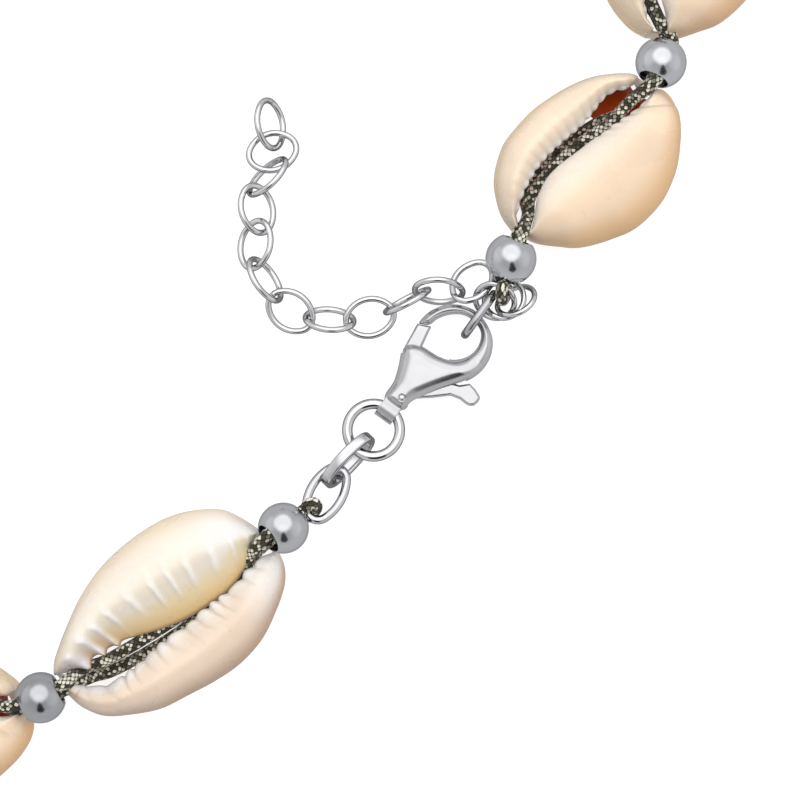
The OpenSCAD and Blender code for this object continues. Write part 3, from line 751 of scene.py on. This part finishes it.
def make_cord():
    stops = strand(1)
    stops += bend((-13.51, 2.85), 2.31, -34, -28, 31, -34, 0.66)
    stops += strand(-1)[::-1]
    stops += bend((10.46, 3.03), 2.78, -146, -6, 13, -146 + 180, 0.8)[::-1]
    path = evenly(spline(stops, closed=True, fine=24), CORD_POINTS, closed=True)
    sides = 14
    total = np.linalg.norm(np.diff(np.vstack([path, path[:1]]), axis=0), axis=1).sum()
    verts = sweep(path, circle_section(CORD_D, sides))
    faces = grid_faces(len(path), sides, True, True)
    obj = make_piece("braided_cord", verts, faces.tolist(), cord_material())
    layer = obj.data.uv_layers.new(name="UVMap")
    turns = round(total / math.pi * BRAID_THREADS)
    row, col = faces[:, 0] // sides, faces[:, 0] % sides
    u0, u1 = row / len(path) * turns, (row + 1) / len(path) * turns
    v0, v1 = col / sides * BRAID_THREADS, (col + 1) / sides * BRAID_THREADS
    uv = np.stack([u0, v0, u1, v0, u1, v1, u0, v1], 1)
    layer.data.foreach_set("uv", uv.astype(np.float32).ravel())
    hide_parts("cord")
    return total


cord_length = make_cord()

# ---------------------------------------------------------------- links and rings


def lay(points, row):
    """Puts a link where its row says: place in X and Y, height, heading, slope and roll."""
    (x, y), z, head, slope, roll = row
    turn = spin("Z", head) @ spin("Y", -slope) @ spin("X", roll)
    return points @ turn.T + np.array([x, FRONT_Y + y, z])


def oval_path(long_out, wide_out, wire, share=0.75, count=160):
    """Middle line of an oval link: two round ends, and bowed sides of a greater radius."""
    long, short = (long_out - wire) / 2, (wide_out - wire) / 2
    end_r = short * share
    reach, rise = long - end_r, short - end_r
    middle = (reach**2 - rise**2) / (2 * rise)
    side_r = middle + short
    half = math.atan2(reach, middle)
    pts = []
    for turn in (0, math.pi):
        c, s = math.cos(turn), math.sin(turn)
        a = np.linspace(-(math.pi / 2 - half), math.pi / 2 - half, 60)
        end = np.stack([reach + end_r * np.cos(a), end_r * np.sin(a)], 1)
        a = np.linspace(math.pi / 2 - half, math.pi / 2 + half, 60)
        flank = np.stack([side_r * np.cos(a), -middle + side_r * np.sin(a)], 1)
        both = np.vstack([end[:-1], flank[:-1]])
        pts.append(both @ np.array([[c, s], [-s, c]]))
    flat = evenly(np.vstack(pts), count, closed=True)
    return np.concatenate([flat, np.zeros((count, 1))], 1)


def make_link(name, node, row, path, section, material):
    verts = sweep(path, section, up_hint=np.array([0.0, 0, 1]))
    faces = grid_faces(len(path), len(section), True, True)
    obj = make_piece(name, lay(verts, row), faces.tolist(), material)
    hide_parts(node)


CHAIN = [
    [[7.7, 25.9], 1.5, -130, 0, -50], [[6.2, 24.3], 1.3, 150, 5, 5], [[4.4, 23.2], 1.75, 175, -5, 60],
    [[1.9, 22.1], 1.6, -125, 0, -35], [[-0.3, 20.3], 1.5, -150, 0, 35], [[-1.9, 17.8], 1.65, -105, 0, -60],
    [[-2.4, 14.6], 1.55, -85, -5, 10], [[-0.8, 11.8], 1.6, -55, 5, -55], [[1.5, 9.5], 1.65, -35, 0, 10],
    [[4.5, 8.15], 1.75, -20, 0, -80], [[6.8, 6.8], 1.75, -55, -10, 55], [[9.2, 5.3], 1.45, 5, -20, -25],
]
RINGS = [
    [[9.22, 2.9], 1.85, 0, 34, 10], [[9.85, 2.45], 1.7, 20, -10, -15], [[10.35, 1.65], 2.15, 150, -15, 50],
]
path, wire = oval_path(4.4, 3.5, 0.5), circle_section(0.5, 20)
for k, row in enumerate(CHAIN, 1):
    make_link(f"extender_link_{k:02d}", f"chain_link_{k:02d}", row, path, wire, wire_silver)


def round_path(d, wire, count=180):
    a = np.arange(count) * 2 * math.pi / count
    r = (d - wire) / 2
    return np.stack([r * np.cos(a), r * np.sin(a), 0 * a], 1)


path, wire = round_path(3.6, 0.4), circle_section(0.46, 20)
for k, row in enumerate(RINGS, 1):
    make_link(f"round_ring_{k}", f"end_ring_{k}", row, path, wire, wire_silver)


def rounded_band(thick, broad, corner=0.16, steps=5):
    pts = []
    mid_x, mid_y = thick / 2 - corner, broad / 2 - corner
    for cx, cy, start in ((1, 1, 0), (-1, 1, 90), (-1, -1, 180), (1, -1, 270)):
        for a in np.radians(np.linspace(start, start + 90, steps)):
            pts.append((cx * mid_x + corner * math.cos(a), cy * mid_y + corner * math.sin(a)))
    return np.array(pts)


make_link("oval_cord_link", "cord_link", [[-11.4, 2.6], 1.79, 12, -14, 0],
          oval_path(5.3, 3.2, 0.62), circle_section(0.72, 24), link_silver)
make_link("flat_band_link", "band_link", [[-8.23, 3.1], 1.73, -1, 0, 70],
          oval_path(5.5, 3.3, 0.5, count=200), rounded_band(0.5, 0.9), link_silver)
make_link("thick_jump_ring", "jump_ring", [[-5.05, 3.2], 1.6, 5, 0, 0],
          round_path(5.1, 0.86), circle_section(0.86, 28), wire_silver)
make_link("clasp_link", "hook_link", [[7.6, 3.1], 1.6, 6.5, 0, 90],
          oval_path(4.7, 3.2, 0.7, share=0.9), circle_section(0.7, 24), bar_silver)

# ---------------------------------------------------------------- clasp

RIVET = np.array([-1.575, -43.240, 1.6])
CLASP_HEADING = 6.5


def polygon_distance(points, poly):
    """Distance to a closed outline, more than 0 inside it."""
    best = np.full(len(points), 1e9)
    inside = np.zeros(len(points), bool)
    for p, q in zip(poly, np.roll(poly, -1, 0)):
        edge = q - p
        w = points - p
        t = np.clip((w @ edge) / (edge @ edge), 0, 1)
        best = np.minimum(best, ((w - t[:, None] * edge) ** 2).sum(1))
        crosses = (p[1] > points[:, 1]) != (q[1] > points[:, 1])
        if crosses.any() and abs(edge[1]) > 1e-12:
            x = p[0] + (points[:, 1] - p[1]) / edge[1] * edge[0]
            inside ^= crosses & (points[:, 0] < x)
    best = np.sqrt(best)
    return np.where(inside, best, -best)


def surface_net(field, low, step):
    """Quads of the surface where the field is 0, from values on a regular grid."""
    inside = field > 0
    nx, ny, nz = field.shape
    offsets = [(i, j, k) for i in (0, 1) for j in (0, 1) for k in (0, 1)]
    corners = [inside[i:nx - 1 + i, j:ny - 1 + j, k:nz - 1 + k] for i, j, k in offsets]
    count = sum(c.astype(int) for c in corners)
    mixed = (count > 0) & (count < 8)
    ids = -np.ones(mixed.shape, int)
    cells = np.argwhere(mixed)
    ids[mixed] = np.arange(len(cells))
    total = np.zeros((len(cells), 3))
    hits = np.zeros(len(cells))
    for p in offsets:
        for axis in range(3):
            if p[axis]:
                continue
            q = list(p)
            q[axis] = 1
            a = field[cells[:, 0] + p[0], cells[:, 1] + p[1], cells[:, 2] + p[2]]
            b = field[cells[:, 0] + q[0], cells[:, 1] + q[1], cells[:, 2] + q[2]]
            cross = (a > 0) != (b > 0)
            t = np.where(cross, a / np.where(cross, a - b, 1), 0)
            at = np.array(p, float)[None] + 0 * total
            at[:, axis] = t
            total += at * cross[:, None]
            hits += cross
    verts = low + (cells + total / hits[:, None]) * step
    quads = []
    for axis in range(3):
        u, v = (axis + 1) % 3, (axis + 2) % 3
        a = [slice(None)] * 3
        a[axis] = slice(0, -1)
        b = [slice(None)] * 3
        b[axis] = slice(1, None)
        change = inside[tuple(a)] != inside[tuple(b)]
        edges = np.argwhere(change)
        keep = (edges[:, u] > 0) & (edges[:, v] > 0)
        keep &= (edges[:, u] < field.shape[u] - 1) & (edges[:, v] < field.shape[v] - 1)
        edges = edges[keep]
        from_inside = inside[edges[:, 0], edges[:, 1], edges[:, 2]]

        def cell(du, dv):
            c = edges.copy()
            c[:, u] -= du
            c[:, v] -= dv
            return ids[c[:, 0], c[:, 1], c[:, 2]]

        quad = np.stack([cell(1, 1), cell(0, 1), cell(0, 0), cell(1, 0)], 1)
        quad = np.where(from_inside[:, None], quad, quad[:, ::-1])
        quads.append(quad)
    return verts, np.vstack(quads)


def carve(name, node, function, low, high, step, material, body):
    """A piece of the clasp from its field, with its points drawn on to the surface where the field is 0."""
    low, high = np.array(low, float), np.array(high, float)
    counts = np.ceil((high - low) / step).astype(int) + 1
    axes = [low[k] + np.arange(counts[k]) * step for k in range(3)]
    grid = np.stack(np.meshgrid(*axes, indexing="ij"), 3).reshape(-1, 3)
    field = function(grid).reshape(counts)
    verts, quads = surface_net(field, low, step)
    for _ in range(3):
        e = 1e-3
        value = function(verts)
        slope = np.stack([(function(verts + d) - function(verts - d)) / (2 * e) for d in np.eye(3) * e], 1)
        size = (slope**2).sum(1)
        move = -value[:, None] * slope / np.maximum(size, 0.2)[:, None]
        long = np.linalg.norm(move, axis=1)
        move *= np.minimum(1, step * 0.5 / np.maximum(long, 1e-9))[:, None]
        verts = verts + move
    turn = spin("Z", CLASP_HEADING)
    world = verts @ turn.T + RIVET
    obj = make_piece(name, world, quads.tolist(), material, body=body)
    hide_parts(node)


# Outlines of the clasp in its own frame: the rivet at 0, X towards the hook
CLASP_OUTLINE = np.array([
    [5.74, 2.40], [7.1, 2.15], [8.4, 1.2], [9.1, -0.4], [8.9, -1.9], [8, -3.3], [6.4, -4],
    [4.5, -3.7], [2.2, -2.1], [0.3, -0.95], [-0.8, -0.6], [-0.8, 1.1], [0.7, 1.3], [1.9, 1.7],
    [3.2, 2.25], [3.95, 2], [4.4, 1], [4.5, -0.4], [4.9, -1.6], [5.8, -2.4], [6.9, -2.6],
    [7.9, -2.2], [8.35, -1.3], [8.3, -0.2], [7.7, 0.7], [6.9, 1.3], [6.15, 1.55], [5.83, 1.95],
])
SLOT = np.array([
    [0.3, 0.7], [2.9, 1.87], [3.0, 2.6], [5.4, 2.6], [4.9, 0], [4.75, -1.2],
    [4.3, -2.2], [4.0, -3], [4.4, -4.6], [-0.2, -4.6],
])
LEVER = np.array([
    [3.0, 1.68], [3.2, 2.18], [5.6, 2.46], [6.05, 1.38], [4.25, 1.05], [1.6, 0], [3.3, -2.5],
    [3.5, -3.2], [4.10, -3.80], [4.0, -4.4], [3.74, -5.05], [3.55, -5.2], [3.3, -5.22], [2.85, -5.13],
    [2.62, -4.85], [2.56, -4.5], [2.6, -3.9], [2.4, -3.1], [1.4, -2],
    [0.2, -0.5],
])
HUB = 0.49  # radius of the lever round the rivet
EYE = (-1.42, 0.28)
EYE_R, EYE_HALF, EYE_HOLE_R = 0.93, 0.80, 0.63
SLOT_HALF, LEVER_HALF = 0.41, 0.345
RIVET_HOLE_R, LEVER_HOLE_R = 0.26, 0.30


def hub_arc(r, start):
    a = np.radians(np.arange(start, -261, -20))
    return np.stack([r * np.cos(a), r * np.sin(a)], 1)


body_outline = spline(CLASP_OUTLINE, closed=True, fine=6)
slot_outline = np.vstack([SLOT, hub_arc(HUB + 0.06, -120)])
lever_outline = np.vstack([LEVER, hub_arc(HUB, -80)])


class Flat:
    """Distances to an outline, looked up from a fine table."""

    def __init__(self, poly, low, high, step=0.03):
        self.low, self.step = np.array(low, float), step
        self.n = np.ceil((np.array(high) - self.low) / step).astype(int) + 1
        xs, ys = [self.low[k] + np.arange(self.n[k]) * step for k in (0, 1)]
        grid = np.stack(np.meshgrid(xs, ys, indexing="ij"), 2).reshape(-1, 2)
        self.values = polygon_distance(grid, poly).reshape(self.n)

    def __call__(self, xy):
        p = (xy - self.low) / self.step
        p = np.clip(p, 0, self.n - 1.001)
        i = p.astype(int)
        f = p - i
        v = self.values
        a = v[i[:, 0], i[:, 1]] * (1 - f[:, 0]) + v[i[:, 0] + 1, i[:, 1]] * f[:, 0]
        b = v[i[:, 0], i[:, 1] + 1] * (1 - f[:, 0]) + v[i[:, 0] + 1, i[:, 1] + 1] * f[:, 0]
        return a * (1 - f[:, 1]) + b * f[:, 1]


body_flat = Flat(body_outline, (-3, -5.5), (10, 3.5))
slot_flat = Flat(slot_outline, (-3, -5.5), (10, 3.5))
lever_flat = Flat(lever_outline, (-1, -5.6), (6.5, 2.8))


def pillow(distance, z, thick, edge):
    """A plate as thick as given on each side of its middle, rounded over its edge's width."""
    e = 1 - np.clip(distance / edge, -3, 1)
    return (1 - np.sqrt((z / thick) ** 2 + e**2)) * edge


def clasp_field(p):
    x, y, z = p[:, 0], p[:, 1], p[:, 2]
    thick = 1.13 - 0.40 * smoothstep(4.3, 6.0, x)
    edge = 0.72 + 0.38 * smoothstep(5.6, 3.6, x) * smoothstep(-0.6, 1.2, x)
    body = pillow(body_flat(p[:, :2]), z, thick, edge)
    across_eye = np.sqrt((x - EYE[0]) ** 2 + z**2)
    barrel = np.minimum(EYE_R - across_eye, EYE_HALF - np.abs(y - EYE[1]))
    k = 0.25  # width over which the barrel of the eye runs into the body
    h = np.clip(0.5 + 0.5 * (body - barrel) / k, 0, 1)
    form = barrel * (1 - h) + body * h + k * h * (1 - h)
    form = np.minimum(form, across_eye - EYE_HOLE_R)
    cut = np.minimum(slot_flat(p[:, :2]), SLOT_HALF - np.abs(z))
    form = np.minimum(form, -cut)
    return np.minimum(form, np.sqrt(x**2 + y**2) - RIVET_HOLE_R)


def lever_field(p):
    x, y, z = p[:, 0], p[:, 1], p[:, 2]
    plate = pillow(lever_flat(p[:, :2]), z, LEVER_HALF, 0.22)
    plate = np.where(x > 5, np.minimum(plate, -body_flat(p[:, :2]) - 0.04), plate)
    return np.minimum(plate, np.sqrt(x**2 + y**2) - LEVER_HOLE_R)


carve("lobster_clasp", "clasp_body", clasp_field, (-2.6, -4.4, -1.35), (9.6, 2.8, 1.35), 0.075,
      clasp_silver, "necklace")
carve("clasp_gate", "clasp_lever", lever_field, (-0.8, -5.4, -0.5), (6.3, 2.5, 0.5), 0.06,
      clasp_silver, "lever")


def make_rivet():
    rings = [(0.12, 1.115), (0.2, 1.09), (0.235, 1.05), (0.245, 1.0)]
    rings += [(r, -z) for r, z in rings[::-1]]
    n = 32
    a = np.arange(n) * 2 * math.pi / n
    verts, faces = [[[0, 0, 1.12]]], []
    for r, z in rings:
        verts.append(np.stack([r * np.cos(a), r * np.sin(a), 0 * a + z], 1))
    verts.append([[0, 0, -1.12]])
    verts = np.vstack(verts)
    last = len(verts) - 1
    for k in range(n):
        faces.append((0, 1 + k, 1 + (k + 1) % n))
        for m in range(len(rings) - 1):
            b = 1 + m * n
            faces.append((b + k, b + n + k, b + n + (k + 1) % n, b + (k + 1) % n))
        b = 1 + (len(rings) - 1) * n
        faces.append((b + k, last, b + (k + 1) % n))
    world = verts @ spin("Z", CLASP_HEADING).T + RIVET
    obj = make_piece("clasp_pin", world, faces, link_silver)
    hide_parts("clasp_rivet")


make_rivet()

# ---------------------------------------------------------------- camera, floor and light

UP = np.array([0.7431, 0.6691, 0])  # the picture's up and right
RIGHT = np.array([0.6691, -0.7431, 0])
OVERHEAD = np.array([0, 0, 1])

# above the clasp and turned as the photo is
cam_data = bpy.data.cameras.new("camera")
cam_data.lens = 120
cam_data.sensor_width = 36
cam_data.clip_start = 0.01
cam_data.clip_end = 10
camera = add_object("camera", cam_data)
camera.location = (-1.82 * MM, -43.26 * MM, 216.63 * MM)
camera.rotation_euler = (0, 0, math.radians(-48))
bpy.context.scene.camera = camera


def make_floor():
    s = 1.5  # half its side, in metres
    mesh = bpy.data.meshes.new("floor")
    z = -0.00002
    mesh.from_pydata([(-s, -s, z), (s, -s, z), (s, s, z), (-s, s, z)], [], [(0, 1, 2, 3)])
    obj = add_object("floor", mesh)
    m = bpy.data.materials.new("floor")
    n = Nodes(m)
    glow = n.add("ShaderNodeEmission", {"Color": (1, 1, 1, 1), "Strength": 0.86})
    matte = n.add("ShaderNodeBsdfDiffuse", {"Color": (0.3, 0.3, 0.3, 1)})
    both = n.add("ShaderNodeAddShader", {0: glow.outputs[0], 1: matte.outputs[0]})
    n.add("ShaderNodeOutputMaterial", {"Surface": both.outputs[0]})
    mesh.materials.append(m)
    obj.visible_glossy = False


make_floor()

world = bpy.data.worlds.new("studio")
bpy.context.scene.world = world
w = Nodes(world)
direction = w.add("ShaderNodeTexCoord").outputs["Generated"]
height_of = w.add("ShaderNodeSeparateXYZ", {"Vector": direction}).outputs[2]
level = w.math("MULTIPLY_ADD", height_of, 0.5, 0.5)
sky = w.ramp(level, [(0.0, 0.34), (0.10, 0.40), (0.20, 0.54), (0.50, 0.58), (0.62, 0.57), (0.80, 0.50),
                     (0.94, 0.44), (0.985, 0.58)])


def lobe(toward, strength, inner, outer):
    """A soft round patch in the sky: direction, brightness, radius where it is full and where it ends."""
    toward = tuple(unit(np.array(toward, float)))
    spot = w.add("ShaderNodeVectorMath", {0: direction, 1: toward}, operation="DOT_PRODUCT")
    inputs = {"Value": spot.outputs["Value"], "From Min": math.cos(math.radians(outer)),
              "From Max": math.cos(math.radians(inner))}
    step = w.add("ShaderNodeMapRange", inputs, interpolation_type="SMOOTHSTEP")
    return w.math("MULTIPLY", step.outputs[0], strength)


tilt = math.radians(27)
bright = lobe(UP * math.sin(tilt) + OVERHEAD * math.cos(tilt), 0.75, 27, 48)
side_glow = lobe(RIGHT * 0.9 + OVERHEAD * 0.5, 0.15, 4, 40)
other_glow = lobe(-RIGHT * 0.9 + UP * 0.3 + OVERHEAD * 0.5, 0.2, 4, 40)
# three dark patches in a row give the spot below the highlight on each bead
down = -UP + RIGHT * 0.12
dark = w.math("ADD", lobe(down * 0.42 + OVERHEAD, 0.9, 3, 8), lobe(down * 0.68 + OVERHEAD, 0.9, 8, 13))
edge_dark = lobe(down * 1.2 + OVERHEAD, 0.9, 11, 17)
total = w.math("ADD", sky, w.math("ADD", bright, w.math("ADD", side_glow, other_glow)))
total = w.math("SUBTRACT", total, w.math("ADD", dark, edge_dark))
total = w.math("MAXIMUM", total, 0.03)
back = w.add("ShaderNodeBackground", {"Color": total, "Strength": 1.0})
w.add("ShaderNodeOutputWorld", {"Surface": back.outputs[0]})


def area_light(name, place, size, power):
    data = bpy.data.lights.new(name, "AREA")
    data.shape = "DISK"
    data.size = size
    data.energy = power
    obj = add_object(name, data)
    obj.location = place
    obj.rotation_euler = (-Vector(place)).to_track_quat("-Z", "Y").to_euler()
    obj.visible_camera = False
    obj.visible_glossy = False


area_light("soft_top", UP * 0.25 + OVERHEAD * 0.6, 0.5, 1.75)
area_light("soft_side", RIGHT * 0.5 + UP * 0.1 + OVERHEAD * 0.4, 0.3, 0.7)

view = bpy.context.scene.view_settings
view.view_transform = "Standard"
view.look = "None"
view.exposure = 0
view.gamma = 1

print("cord length, metres:", round(cord_length * MM, 4))
